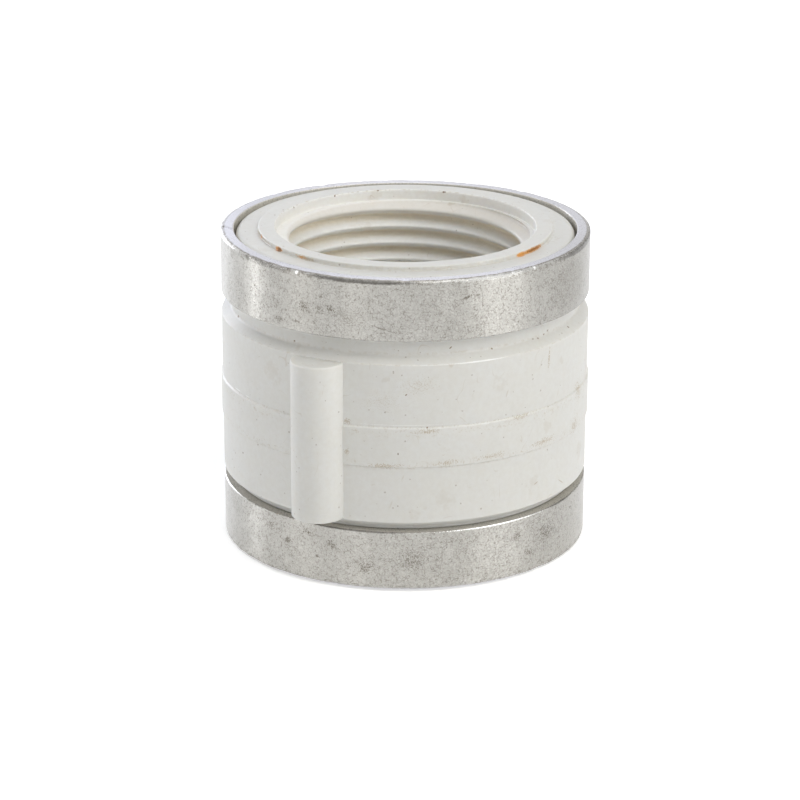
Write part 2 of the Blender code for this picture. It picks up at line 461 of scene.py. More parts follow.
def group_specks():
    """Scattered ragged specks."""
    net, given, result = new_group("scattered_specks", {
        "Position": ORIGIN, "Scale": 500.0, "Share": 0.1, "Size": 0.2, "Raggedness": 0.3,
    }, ["Mask"])
    cells = net.add("ShaderNodeTexVoronoi", {"Vector": given["Position"], "Scale": given["Scale"]}).outputs
    chance, growth, _ = net.add("ShaderNodeSeparateColor", {0: cells["Color"]}).outputs
    there = net.math("LESS_THAN", chance, given["Share"])
    size = net.times(given["Size"], net.plus(growth, SPECK_LEAST))
    ragged = net.minus(net.noise(given["Position"], net.times(given["Scale"], SPECK_BITS)), 0.5)
    distance = net.math("MULTIPLY_ADD", ragged, given["Raggedness"], cells["Distance"])
    spot = net.falling(distance, net.times(size, SPECK_CORE), size)
    net.feed(result["Mask"], net.times(spot, there))
    return net.tree


def group_mark():
    """A mark at one place on a turned part, laid out along its circle and broken up by grain."""
    net, given, result = new_group("local_mark", {
        "Radius": 0.0, "Height": 0.0, "Angle": 0.0, "Grain": 0.5,
        "Place Radius": 0.0, "Place Height": 0.0, "Place Angle": 0.0,
        "Reach": (0.001, 0.001, 0.001), "Tilt": 0.0, "Break": 0.5,
    }, ["Mask"])
    turn = net.math("WRAP", net.minus(given["Angle"], given["Place Angle"]), math.pi, -math.pi)
    offset = net.point(
        net.minus(given["Radius"], given["Place Radius"]),
        net.times(turn, given["Place Radius"]),
        net.minus(given["Height"], given["Place Height"]),
    )
    back = net.times(given["Tilt"], -1.0)
    level = net.add("ShaderNodeVectorRotate", {"Vector": offset, "Angle": back}, rotation_type="X_AXIS")
    reached = net.vector("DIVIDE", {0: level.outputs[0], 1: given["Reach"]})["Vector"]
    away = net.vector("LENGTH", {0: reached})["Value"]
    shifted = net.math("MULTIPLY_ADD", net.minus(given["Grain"], MARK_GRAIN), given["Break"], away)
    net.feed(result["Mask"], net.falling(shifted, MARK_CORE, 1.0, "SMOOTHSTEP"))
    return net.tree


def group_seam():
    """Dirt that gathers along a line round the part, broken up by noise."""
    net, given, result = new_group("seam_dirt", {
        "Position": ORIGIN, "Across": 0.0, "Place": 0.0, "Width": 0.0003, "Break Scale": 1200.0,
        "Low": 0.4, "High": 0.6,
    }, ["Mask"])
    line = net.falling(net.apart(given["Across"], given["Place"]), 0.0, given["Width"], "SMOOTHSTEP")
    grain = net.noise(given["Position"], given["Break Scale"], 3.0, 0.6)
    net.feed(result["Mask"], net.times(line, net.rising(grain, given["Low"], given["High"])))
    return net.tree


def patches(net, given, fineness, roughness):
    """Soft-edged patches that take up a group's Share of the surface."""
    clouds = net.noise(given["Position"], net.times(given["Scale"], fineness), 2.0, roughness)
    limit = net.minus(1.0, given["Share"])
    return net.rising(clouds, limit, net.plus(limit, PATCH_EDGE))


def group_scratches():
    """Thin curved scratches that come and go."""
    net, given, result = new_group("hair_scratches", {
        "Position": ORIGIN, "Scale": 200.0, "Stretch": (1.0, 1.0, 1.0), "Width": 0.01, "Share": 0.4,
    }, ["Mask"])
    stretched = net.vector("MULTIPLY", {0: given["Position"], 1: given["Stretch"]})["Vector"]
    waves = net.noise(stretched, given["Scale"], 1.0, 0.5, 0.6)
    line = net.falling(net.apart(waves, 0.5), 0.0, given["Width"])
    net.feed(result["Mask"], net.times(line, patches(net, given, SCRATCH_PATCHES, 0.5)))
    return net.tree


def group_fibres():
    """Short thin dark strokes between the grains of a metal surface."""
    net, given, result = new_group("dark_fibres", {
        "Position": ORIGIN, "Scale": 2600.0, "Width": 0.05, "Share": 0.5, "Bend": 0.0002,
    }, ["Mask"])
    spread = {"Vector": given["Position"], "Scale": given["Scale"]}
    push = net.add("ShaderNodeTexNoise", {**spread, "Detail": 1.0}).outputs["Color"]
    shift = net.vector("SCALE", {0: push, "Scale": given["Bend"]})["Vector"]
    spread["Vector"] = net.vector("ADD", {0: given["Position"], 1: shift})["Vector"]
    cells = net.add("ShaderNodeTexVoronoi", spread, feature="DISTANCE_TO_EDGE").outputs
    line = net.falling(cells["Distance"], 0.0, given["Width"])
    net.feed(result["Mask"], net.times(line, patches(net, given, FIBRE_PATCHES, 0.6)))
    return net.tree


SHADER_GROUPS = {
    "around_axis": group_around_axis,
    "worked_grain": group_grain,
    "scattered_specks": group_specks,
    "local_mark": group_mark,
    "seam_dirt": group_seam,
    "hair_scratches": group_scratches,
    "dark_fibres": group_fibres,
}


# Settings of the materials

BUMP_DEPTH = 0.00002
WARM_PLASTIC = (0.715, 0.706, 0.662)
LIGHT_SPREAD = (1.0, 0.9, 0.75)
METAL_DIRT = (0.17, 0.155, 0.13)
# Painted shade, with some dirt, on the bevels.
BEVEL_SHADE_AND_DIRT = (0.08, 0.075, 0.068)
DARKER_METAL = (0.72, 0.71, 0.69)
BRIGHTER_METAL = 1.27

# Scale, detail and roughness of a noise
MARK_BREAKS = (1.0 / (0.15 * MM), 3.0, 0.65)
MOTTLE = (160.0, 3.0, 0.6)
PITS = (1500.0, 2.0, 0.6)
BLOTCHES = (260.0, 4.0, 0.65)
PAPER = (40.0, 2.0, 0.5)

PLASTIC_GRAIN = {"Fine Scale": 2500.0, "Coarse Scale": 350.0, "Coarse Share": 0.5, "Contrast": 1.0}
SMUDGES = {"Scale": 260.0, "Share": 0.16, "Size": 0.3, "Raggedness": 0.9}
SCRATCHES = {"Scale": 260.0, "Stretch": (1.0, 1.0, 0.6), "Width": 0.006, "Share": 0.45}
DUST = {"Scale": 2100.0, "Share": 0.05, "Size": 0.24, "Raggedness": 0.4}
SPECKS = {"Scale": 900.0, "Share": 0.06, "Size": 0.11, "Raggedness": 0.3}
METAL_GRAIN = {"Fine Scale": 4800.0, "Coarse Scale": 420.0, "Coarse Share": 0.22, "Contrast": 2.4}
METAL_FIBRES = {"Scale": 2500.0, "Width": 0.11, "Share": 0.52, "Bend": 0.0003}
METAL_SPECKS = {"Scale": 1700.0, "Share": 0.15, "Size": 0.18, "Raggedness": 0.4}


# Materials

def start_material(name):
    """Return a new material with its net, its shader's inputs and the object coordinates."""
    material = bpy.data.materials.new(name)
    material.use_nodes = True
    net = Net(material.node_tree)
    shader = material.node_tree.nodes["Principled BSDF"].inputs
    return material, net, shader, net.add("ShaderNodeTexCoord").outputs["Object"]


def effect(net, name, position, settings):
    """First output of a shader group that spreads an effect over a surface."""
    return net.group(name, {"Position": position, **settings})[0]


def place_on_part(net, position):
    """Return the place round the axis and the fine grain that breaks up the marks."""
    place = dict(net.group("around_axis", {"Position": position}).items())
    place["Grain"] = net.noise(position, *MARK_BREAKS)
    return place


def mark_masks(net, place, marks):
    """Strongest of several local marks, each made by one of the mark functions."""
    masks = []
    for degrees, radius, height, reach, tilt, ragged, strength in marks:
        mask = net.group("local_mark", {
            **place,
            "Place Angle": math.radians(degrees + FRONT_ANGLE),
            "Place Radius": radius * MM,
            "Place Height": height * MM,
            "Reach": tuple(size * MM for size in reach),
            "Tilt": math.radians(tilt),
            "Break": ragged,
        })["Mask"]
        masks.append(net.times(mask, strength))
    return net.strongest(*masks)


def seam_masks(net, position, across, seams):
    """Strongest of several lines of dirt.

    A seam is its place and width in metres, the size of its breaks in millimetres, the grain where it
    begins and is full, and its strength.
    """
    masks = []
    for place, width, bit, low, high, strength in seams:
        mask = net.group("seam_dirt", {
            "Position": position, "Across": across, "Place": place, "Width": width,
            "Break Scale": 1.0 / (bit * MM), "Low": low, "High": high,
        })["Mask"]
        masks.append(net.times(mask, strength))
    return net.strongest(*masks)


def finish_surface(net, shader, grain, roughness, bump):
    """Let the grain vary the roughness and raise small bumps.

    Roughness is the grain's range followed by the range of roughness it gives.
    """
    net.feed(shader["Roughness"], net.rising(grain, *roughness))
    bumps = net.add("ShaderNodeBump", {"Strength": bump, "Distance": BUMP_DEPTH, "Height": grain})
    net.feed(shader["Normal"], bumps.outputs["Normal"])


def clean_plastic(net, position, place, finish, sizes):
    """Plastic without dirt: mottled outside, painted paler in the bore and warm in its roots as fill light,
    with a darker, warmer first flank.
    """
    radius = place["Radius"]
    height = place["Height"]
    mouth, _ = lip_radii(sizes)
    first_turn = sizes.total - sizes.mouth_depth
    mottle = net.rising(net.noise(position, *MOTTLE), 0.35, 0.7, 0.0, 0.35)
    outside = net.mix(mottle, rgba(finish.plastic), rgba(WARM_PLASTIC))
    # Where the painted warm light in the thread's roots is laid.
    root_light_mask = net.rising(radius, sizes.thread_major - 0.9 * MM, sizes.thread_major - 0.05 * MM)
    in_thread = net.falling(height, first_turn - 1.2 * MM, first_turn - 0.4 * MM)
    # Painted fill light: the paler bore, with warm painted light in the thread's roots.
    bore = net.mix(net.times(root_light_mask, in_thread), rgba(finish.bore), rgba(finish.painted_root_light))
    # A darker, warmer band on the first flank under the mouth.
    first_flank = net.times(
        net.rising(height, first_turn - 1.5 * MM, first_turn - 1.1 * MM),
        net.falling(height, first_turn - 0.15 * MM, first_turn + 0.05 * MM),
    )
    bore_with_dark_band = net.layered(bore, [(first_flank, 0.25, finish.smear_and_shade)])
    in_bore = net.falling(radius, mouth, mouth + 0.2 * MM)
    pores = net.rising(net.noise(position, *PITS), 0.3, 0.7, 0.09, 0.0)
    return net.mix(pores, net.mix(in_bore, outside, bore_with_dark_band), rgba(finish.smear_and_shade))


def plastic_seam_dirt_and_shade(net, position, place, sizes):
    """Dirt and painted shade along the band, the shoulder and the sealing lip: painted shadow under the
    band's lower step, painted shade in the crease under the upper ring and at the foot of the lip, and dirt
    along the other lines.
    """
    radius = place["Radius"]
    height = place["Height"]
    levels = wall_levels(sizes)
    mouth, lip = lip_radii(sizes)
    outside = net.times(
        net.rising(radius, lip + MM, lip + 2.0 * MM),
        net.falling(radius, sizes.outer_radius + 0.3 * MM, sizes.outer_radius + 0.45 * MM),
    )
    at_end = net.rising(height, sizes.total - 1.2 * MM, sizes.total - MM)
    on_lip = net.rising(height, sizes.total - 0.2 * MM, sizes.total - 0.1 * MM)
    # The band's lower line is painted shadow under its step and the line at the upper foot is painted shade
    # in the crease; the rest are dirt.
    outer_seams = seam_masks(net, position, height, [
        (levels["band_top"], 0.00018, 0.3, 0.5, 0.62, 0.5),
        (levels["band_bottom"], 0.00018, 0.35, 0.5, 0.62, 0.35),
        (levels["wall_top"], 0.00013, 0.8, 0.46, 0.62, 0.35),
        (levels["upper_foot"] + 0.00012, 0.0003, 0.5, 0.45, 0.65, 0.35),
        (levels["band_top"] - 0.0007, 0.0010, 0.35, 0.56, 0.7, 0.55),
        (levels["band_bottom"] + 0.0004, 0.0009, 0.35, 0.56, 0.7, 0.6),
    ])
    # Painted shade in the corner at the foot of the lip.
    painted_lip_foot_shade = seam_masks(net, position, radius, [(lip + 0.00015, 0.0003, 0.6, 0.4, 0.66, 0.4)])
    lip_edge = seam_masks(net, position, radius, [(mouth + 0.0001, 0.00012, 0.3, 0.52, 0.6, 0.8)])
    return net.strongest(
        net.times(outer_seams, outside), net.times(painted_lip_foot_shade, at_end), net.times(lip_edge, on_lip)
    )


def make_plastic(finish, sizes):
    """Moulded plastic: satin, a little mottled, with grime and painted shade in its seams, specks, scratches,
    rust and painted highlights on its edges.
    """
    material, net, shader, position = start_material("moulded_plastic")
    place = place_on_part(net, position)
    net.feed(shader["Base Color"], net.layered(clean_plastic(net, position, place, finish, sizes), [
        (effect(net, "scattered_specks", position, SMUDGES), 0.13, finish.smear_and_shade),
        # Dirt and painted shade along the seams.
        (plastic_seam_dirt_and_shade(net, position, place, sizes), 0.75, finish.smear_and_shade),
        (effect(net, "hair_scratches", position, SCRATCHES), 0.32, finish.smear_and_shade),
        (effect(net, "scattered_specks", position, DUST), 0.45, finish.grime),
        (effect(net, "scattered_specks", position, SPECKS), 0.7, finish.grime),
        (mark_masks(net, place, PLASTIC_SMEARS), 0.75, finish.smear_and_shade),
        (mark_masks(net, place, PLASTIC_GRIME), 0.95, finish.grime),
        # Painted highlights along the band's top edge and the wall's top edge.
        (mark_masks(net, place, PLASTIC_PAINTED_HIGHLIGHTS), 0.9, finish.painted_highlight),
        (mark_masks(net, place, LIP_RUST), 0.9, finish.rust),
        (mark_masks(net, place, LIP_SCALE), 0.85, finish.dark_rust),
    ]))
    net.feed(shader["Subsurface Weight"], 0.4)
    net.feed(shader["Subsurface Radius"], LIGHT_SPREAD)
    net.feed(shader["Subsurface Scale"], finish.plastic_depth)
    grain = effect(net, "worked_grain", position, PLASTIC_GRAIN)
    low = finish.plastic_roughness - 0.06
    high = finish.plastic_roughness + 0.08
    finish_surface(net, shader, grain, (0.3, 0.7, low, high), 0.3)
    return material


def make_metal(finish, sizes, name, ends, marks):
    """Bare metal: grainy, blotched and scuffed, with painted shade and some dirt along the bevel, painted
    highlights on its edges, a painted sheen on the flat rim and a duller inner side painted lighter.
    """
    material, net, shader, position = start_material(name)
    place = place_on_part(net, position)
    radius = place["Radius"]
    scuffs, bevel_shade_marks, painted_edge_highlights = (mark_masks(net, place, group) for group in marks)
    from_open, from_collar = (net.apart(place["Height"], end) for end in ends)
    grain = effect(net, "worked_grain", position, METAL_GRAIN)
    inner_radius = sizes.outer_radius - sizes.wall
    bevel_start = sizes.outer_radius - sizes.bevel_width

    inner_side = net.falling(radius, inner_radius + 0.02 * MM, inner_radius + 0.07 * MM)
    collar_end = net.times(
        net.falling(from_collar, 0.04 * MM, 0.12 * MM),
        net.falling(radius, sizes.outer_radius - 0.25 * MM, sizes.outer_radius - 0.12 * MM),
    )
    # Duller metal on the inner side and the collar end, painted lighter to lift their shade.
    dull_and_lightened = net.strongest(inner_side, collar_end)
    on_bevel = net.times(
        net.rising(radius, bevel_start - 0.1 * MM, bevel_start),
        net.falling(
            from_open, sizes.side_rise + sizes.bevel_height, sizes.side_rise + 1.5 * sizes.bevel_height
        ),
    )
    on_top = net.falling(
        from_open, 0.2 * sizes.bevel_height + sizes.side_rise, 0.7 * sizes.bevel_height + sizes.side_rise
    )
    painted_rim_sheen = net.times(on_top, net.falling(radius, bevel_start, bevel_start + 0.06 * MM))
    outer_bevel = net.rising(radius, bevel_start + 0.1 * MM, bevel_start + 0.16 * MM)
    on_collar = net.times(
        net.falling(from_collar, 0.12 * MM, 0.2 * MM),
        net.rising(radius, sizes.outer_radius - 0.14 * MM, sizes.outer_radius - 0.08 * MM),
    )
    on_edges = net.strongest(net.times(on_bevel, outer_bevel), on_collar)
    rim_line = seam_masks(net, position, radius, [(bevel_start, 0.00022, 0.5, 0.3, 0.45, 0.9)])
    foot_line = seam_masks(net, position, place["Height"], [(ends[1], 0.00012, 0.5, 0.42, 0.56, 0.8)])
    edge_bits = net.rising(net.noise(position, *PITS), 0.52, 0.58)

    dark = rgba([part * tint for part, tint in zip(finish.metal, DARKER_METAL)])
    bright = rgba([min(1.0, part * BRIGHTER_METAL) for part in finish.metal])
    blotches = net.rising(net.noise(position, *BLOTCHES), 0.35, 0.7, 0.0, 0.2)
    tinted = net.layered(net.mix(blotches, net.mix(grain, dark, bright), dark), [
        (effect(net, "dark_fibres", position, METAL_FIBRES), 0.68, METAL_DIRT),
        (effect(net, "scattered_specks", position, METAL_SPECKS), 0.6, METAL_DIRT),
        (net.times(scuffs, net.rising(grain, 0.45, 0.75, 1.0, 0.35)), 1.0, METAL_DIRT),
        (foot_line, 0.7, METAL_DIRT),
        # Painted reflection: a lighter, bluish sheen on the flat rim.
        (painted_rim_sheen, 0.85, finish.rim),
        # Painted fill light on the duller inner side and collar end.
        (dull_and_lightened, 1.0, finish.lightened_inner_metal),
        (collar_end, 0.25, METAL_DIRT),
        (net.times(on_bevel, edge_bits), 0.5, METAL_DIRT),
        # Painted highlights along the bevel and the collar edge.
        (net.times(on_edges, painted_edge_highlights), 1.0, finish.painted_highlight),
        (net.times(on_top, rim_line), 0.85, METAL_DIRT),
        # Painted shade, partly dirt, at set places on the bevel and the collar edge.
        (net.times(on_edges, bevel_shade_marks), 0.9, BEVEL_SHADE_AND_DIRT),
    ])
    stained = net.times(dull_and_lightened, net.rising(grain, 0.2, 0.8, 0.35, 0.0))
    net.feed(shader["Base Color"], net.mix(stained, tinted, dark))
    net.feed(shader["Metallic"], net.rising(dull_and_lightened, 0.0, 1.0, 1.0, 0.15))
    net.feed(shader["Anisotropic"], finish.metal_brushing)
    net.feed(shader["Anisotropic Rotation"], 0.25)
    turned = net.add("ShaderNodeTangent", direction_type="RADIAL", axis="Z")
    net.feed(shader["Tangent"], turned.outputs[0])
    low = finish.metal_roughness - 0.07
    high = finish.metal_roughness + 0.1
    finish_surface(net, shader, grain, (0.1, 0.9, low, high), 0.25)
    return material


# Geometry node trees

THREAD_CROWDING = 0.55


def end_tree(net, geometry, material, result):
    """End a geometry tree with Realize Instances and Set Material."""
    real = net.add("GeometryNodeRealizeInstances", {"Geometry": geometry}).outputs[0]
    painted = net.add("GeometryNodeSetMaterial", {"Geometry": real, "Material": material})
    net.feed(result["Geometry"], painted.outputs[0])


def on_turn(net, radius, turn, height):
    """Point at a radius, an angle and a height."""
    x, y = (net.times(radius, net.math(operation, turn)) for operation in ("COSINE", "SINE"))
    return net.point(x, y, height)


def thread_tree():
    """A screw tap by rule: a grid whose rows climb the helix and whose radius follows the thread's form."""
    net, given, result = new_group("thread_by_rule", {
        "Pitch": 0.0023, "Major Radius": 0.0166, "Depth": 0.0015, "Rounding": 0.0003, "Flank Angle": 0.48,
        "First Crest": 0.0, "Turns": 10, "Steps": 96, "Points": 16, "Material": None,
    }, ["Geometry"], "GeometryNodeTree")
    rounding = given["Rounding"]
    grid = net.add("GeometryNodeMeshGrid", {
        "Size X": 1.0, "Size Y": 1.0, "Vertices X": net.plus(given["Points"], 1.0),
        "Vertices Y": net.math("MULTIPLY_ADD", given["Turns"], given["Steps"], 1.0),
    })
    position = net.add("GeometryNodeInputPosition").outputs[0]
    x, y, _ = net.add("ShaderNodeSeparateXYZ", {0: position}).outputs
    across = net.plus(x, 0.5)
    along = net.times(net.plus(y, 0.5), given["Turns"])
    crowding = net.math("SINE", net.times(across, 2.0 * FULL_TURN))
    phase = net.math("MULTIPLY_ADD", crowding, -THREAD_CROWDING / (2.0 * FULL_TURN), across)
    climb = net.plus(net.plus(along, phase), -0.5)
    height = net.math("MULTIPLY_ADD", climb, given["Pitch"], given["First Crest"])
    nearest = net.math("MINIMUM", phase, net.minus(1.0, phase))
    from_crest = net.times(nearest, given["Pitch"])
    to_root = net.minus(net.times(given["Pitch"], 0.5), from_crest)
    touch = net.times(rounding, net.math("COSINE", given["Flank Angle"]))

    def arc(distance):
        """Depth of a rounding at a distance from its middle."""
        kept = net.math("MINIMUM", distance, touch)
        rest = net.minus(net.times(rounding, rounding), net.times(kept, kept))
        return net.minus(rounding, net.math("SQRT", rest))

    run = net.minus(from_crest, touch)
    flank = net.math("DIVIDE", run, net.math("TANGENT", given["Flank Angle"]))
    on_flank = net.plus(net.math("MAXIMUM", flank, 0.0), arc(from_crest))
    depth = net.math("MINIMUM", on_flank, net.minus(given["Depth"], arc(to_root)))
    radius = net.plus(net.minus(given["Major Radius"], given["Depth"]), depth)
    turn = net.math("MULTIPLY_ADD", along, FULL_TURN, math.radians(FRONT_ANGLE))
    moved = net.add(
        "GeometryNodeSetPosition",
        {"Geometry": grid.outputs["Mesh"], "Position": on_turn(net, radius, turn, height)},
    )
    merged = net.add(
        "GeometryNodeMergeByDistance", {"Geometry": moved.outputs[0], "Distance": MERGE_DISTANCE}
    )
    end_tree(net, merged.outputs[0], given["Material"], result)
    return net.tree


def rib_tree():
    """Round bars that stand in a circle round the wall."""
    net, given, result = new_group("ribs_round_wall", {
        "Count": 2, "Wall Radius": 0.024, "Rib Radius": 0.003, "Low": 0.0, "High": 0.01, "Steps": 64,
        "Material": None,
    }, ["Geometry"], "GeometryNodeTree")
    bar = net.add("GeometryNodeMeshCylinder", {
        "Vertices": given["Steps"], "Radius": given["Rib Radius"],
        "Depth": net.minus(given["High"], given["Low"]),
    })
    index = net.add("GeometryNodeInputIndex").outputs[0]
    turn = net.math("DIVIDE", net.times(index, FULL_TURN), given["Count"])
    turned = net.plus(turn, math.radians(FRONT_ANGLE))
    middle = net.times(net.plus(given["High"], given["Low"]), 0.5)
    places = net.add("GeometryNodePoints", {
        "Count": given["Count"], "Position": on_turn(net, given["Wall Radius"], turned, middle),
    })
    bars = net.add(
        "GeometryNodeInstanceOnPoints", {"Points": places.outputs[0], "Instance": bar.outputs["Mesh"]}
    )
    end_tree(net, bars.outputs[0], given["Material"], result)
    return net.tree


def grown(name, tree, values):
    """Run a geometry tree with its inputs, set by their identifiers, on an empty object and return it."""
    obj = link(bpy.data.objects.new(name, bpy.data.meshes.new(name)))
    modifier = obj.modifiers.new("Grow", "NODES")
    modifier.node_group = tree
    for item in tree.interface.items_tree:
        if item.in_out == "INPUT" and item.name in values:
            modifier[item.identifier] = values[item.name]
    return obj


def become_plain(obj):
    """Turn an object's evaluated shape into its own mesh."""
    mesh = plain_mesh(obj, obj.name)
    obj.modifiers.clear()
    obj.data = mesh
    return mesh


# Pieces

PILOT_CLEARANCE = 0.0006
RIB_BEVEL_STEPS = 3
WARP_DEPTH = 0.003
WEAR_SHIFT = Vector((17.0, 5.0, 3.0))
DENT_SCALE = 0.11
CHIP_SCALES = (0.8, 2.6)
UPPER_WEAR = 3
LOWER_WEAR = 5
NICK_SPREAD = math.radians(3.2)
NICK_STEPS = 8


def thread_tool(sizes, material):
    """Grow the tap by its rule and close its two ends."""
    first = sizes.total - sizes.mouth_depth
    turns_down = math.ceil(first / sizes.thread_pitch) + 1
    turns_up = math.ceil(sizes.mouth_depth / sizes.thread_pitch) + 1
    tap = grown("thread_tool", thread_tree(), {
        "Pitch": sizes.thread_pitch, "Major Radius": sizes.thread_major, "Depth": sizes.thread_depth,
        "Rounding": sizes.thread_round, "Flank Angle": sizes.flank_angle,
        "First Crest": first - (turns_down - 0.5) * sizes.thread_pitch, "Turns": turns_down + turns_up,
        "Steps": sizes.thread_steps, "Points": sizes.thread_points, "Material": material,
    })
    mesh = become_plain(tap)
    bm = bmesh.new()
    bm.from_mesh(mesh)
    bmesh.ops.remove_doubles(bm, verts=bm.verts, dist=MERGE_DISTANCE)
    rims = [edge for edge in bm.edges if edge.is_boundary]
    caps = bmesh.ops.holes_fill(bm, edges=rims, sides=0)["faces"]
    bmesh.ops.poke(bm, faces=caps)
    bmesh.ops.recalc_face_normals(bm, faces=bm.faces)
    bm.to_mesh(mesh)
    bm.free()
    return tap


def rib_tool(sizes, material, low, high):
    """Grow the ribs and round their end edges."""
    ribs = grown("rib_tool", rib_tree(), {
        "Count": sizes.rib_count, "Wall Radius": sizes.outer_radius, "Rib Radius": sizes.rib_radius,
        "Low": low + sizes.rib_setback, "High": high - sizes.rib_setback, "Material": material,
    })
    bevel = ribs.modifiers.new("Round", "BEVEL")
    bevel.width = sizes.edge_round
    bevel.segments = RIB_BEVEL_STEPS
    bevel.limit_method = "ANGLE"
    become_plain(ribs)
    return ribs


def lip_radii(sizes):
    """Inner and outer radius of a sealing lip."""
    mouth = sizes.thread_major + sizes.mouth_clearance
    return mouth, mouth + sizes.lip_width


def wall_levels(sizes):
    """Heights of the steps, shoulders and band along the outside of the body."""
    upper_step = UPPER_RING_BOX[0].z - sizes.fit_gap
    lower_step = LOWER_RING_BOX[1].z + sizes.fit_gap
    upper_foot = upper_step - sizes.upper_collar
    lower_foot = lower_step + sizes.lower_collar
    wall_top = upper_foot - sizes.shoulder_rise
    wall_bottom = lower_foot + sizes.shoulder_rise
    band = (wall_top + wall_bottom) / 2.0 + sizes.band_offset
    return {
        "upper_step": upper_step, "upper_foot": upper_foot, "wall_top": wall_top,
        "band_top": band + sizes.band_height / 2.0, "band_bottom": band - sizes.band_height / 2.0,
        "wall_bottom": wall_bottom, "lower_foot": lower_foot, "lower_step": lower_step,
    }


def body_outline(sizes, levels):
    """Corners of the body, from the bore up over the top end, down the outside and back."""
    mouth, lip = lip_radii(sizes)
    seat = sizes.outer_radius - sizes.seat_depth
    collar = sizes.outer_radius - sizes.collar_depth
    pilot = sizes.thread_major - sizes.thread_depth - PILOT_CLEARANCE
    edge = sizes.edge_round
    proud = sizes.outer_radius + sizes.band_raise

    def end(face, inward):
        """Corners of one end."""
        return [
            (pilot, face + inward * sizes.mouth_depth, 0.0),
            (mouth, face + inward * sizes.mouth_depth, 0.6 * edge),
            (mouth, face, edge),
            (lip, face, 0.75 * edge),
            (lip, face + inward * sizes.lip_height, 0.75 * edge),
            (seat, face + inward * sizes.lip_height, sizes.end_round),
        ]

    corners = end(sizes.total, -1)
    corners += [
        (seat, levels["upper_step"], 0.0),
        (collar, levels["upper_step"], 0.5 * edge),
        (collar, levels["upper_foot"], 2.5 * edge),
        (sizes.outer_radius, levels["wall_top"], 0.8 * edge),
        (sizes.outer_radius, levels["band_top"], 0.3 * edge),
        (proud, levels["band_top"] - sizes.band_raise, 0.5 * edge),
        (proud, levels["band_bottom"] + sizes.band_raise, 0.5 * edge),
        (sizes.outer_radius, levels["band_bottom"], 0.3 * edge),
        (sizes.outer_radius, levels["wall_bottom"], 0.8 * edge),
        (collar, levels["lower_foot"], 0.0),
        (collar, levels["lower_step"], 0.0),
        (seat, levels["lower_step"], 0.0),
    ]
    corners += reversed(end(0.0, 1))
    return corners


def build_body(sizes, material):
    """Turn the body, join the ribs and cut the thread."""
    levels = wall_levels(sizes)
    corners = body_outline(sizes, levels)
    mesh = turned_mesh("moulded_body", rounded_outline(corners), even_turns(sizes.turned_steps))
    tidy_mesh(mesh)
    body = link(bpy.data.objects.new("moulded_body", mesh))
    body.data.materials.append(material)
    ribs = rib_tool(sizes, material, levels["wall_bottom"], levels["wall_top"])
    tools = [(ribs, "UNION"), (thread_tool(sizes, material), "DIFFERENCE")]
    for tool, operation in tools:
        modifier = body.modifiers.new(tool.name, "BOOLEAN")
        modifier.operation = operation
        modifier.solver = "EXACT"
        modifier.object = tool
    become_plain(body)
    for tool, _ in tools:
        bpy.data.objects.remove(tool, do_unlink=True)
    tidy_mesh(body.data)
    body.data.materials.clear()
    body.data.materials.append(material)
    return body


def on_circle(degrees, radius):
    """A place in the floor plan by its angle from the front rib and its radius in millimetres."""
    turn = math.radians(degrees + FRONT_ANGLE)
    return Vector((radius * MM * math.cos(turn), radius * MM * math.sin(turn), 0.0))


# Start, end, width and depth of the filed nick
NICK = (on_circle(-61.2, 23.6), on_circle(-57.6, 22.39), 0.00055, 0.00014)


def eased(value, low, high):
    """Smooth step from 0 to 1 between two values."""
    t = min(1.0, max(0.0, (value - low) / (high - low)))
    return t * t * (3.0 - 2.0 * t)


def wear_ring(mesh, sizes, open_z, inward, seed, nick):
    """Dent a ring, wear and warp its open end and file a nick across its flat rim."""
    shift = WEAR_SHIFT * seed
    camera_turn = math.radians(FRONT_ANGLE + CAMERA_ANGLE)
    bevel_start = sizes.outer_radius - sizes.bevel_width
    for vert in mesh.vertices:
        place = vert.co / MM
        flat = Vector((vert.co.x, vert.co.y, 0.0))
        radius = flat.length
        outwards = flat.normalized()
        from_open = (vert.co.z - open_z) * inward
        broad = 0.5 + 0.5 * noise(place * DENT_SCALE + shift)
        near_edge = 1.0 - eased(from_open, sizes.bevel_height, 3.0 * sizes.bevel_height)
        near_edge *= eased(radius, bevel_start - sizes.bevel_width, bevel_start)
        chips = noise(place * CHIP_SCALES[0] + shift) + 0.5 * noise(place * CHIP_SCALES[1] - shift)
        chips = max(0.0, chips)
        view_turn = math.atan2(flat.y, flat.x) - camera_turn
        rise = sizes.side_rise * math.sin(view_turn) ** 2
        rise -= sizes.far_drop * (1.0 - math.cos(view_turn)) / 2.0
        rise *= 1.0 - eased(from_open, 0.0, WARP_DEPTH)
        drop = sizes.edge_wear * chips * near_edge
        sunk = sizes.waviness * broad + drop
        if nick:
            start, end, width, depth = nick
            along = (end - start).normalized()
            offset = flat - start
            off_line = (offset - along * offset.dot(along)).length
            if offset.length < 2.0 * (end - start).length:
                cut = depth * (1.0 - eased(off_line, 0.25 * width, 0.5 * width))
                cut *= 1.0 - eased(from_open, 0.5 * sizes.bevel_height, sizes.bevel_height)
                drop += cut * (1.0 - eased(radius, bevel_start, bevel_start + 0.5 * sizes.bevel_width))
        vert.co -= outwards * sunk
        vert.co.z += inward * (drop - rise)


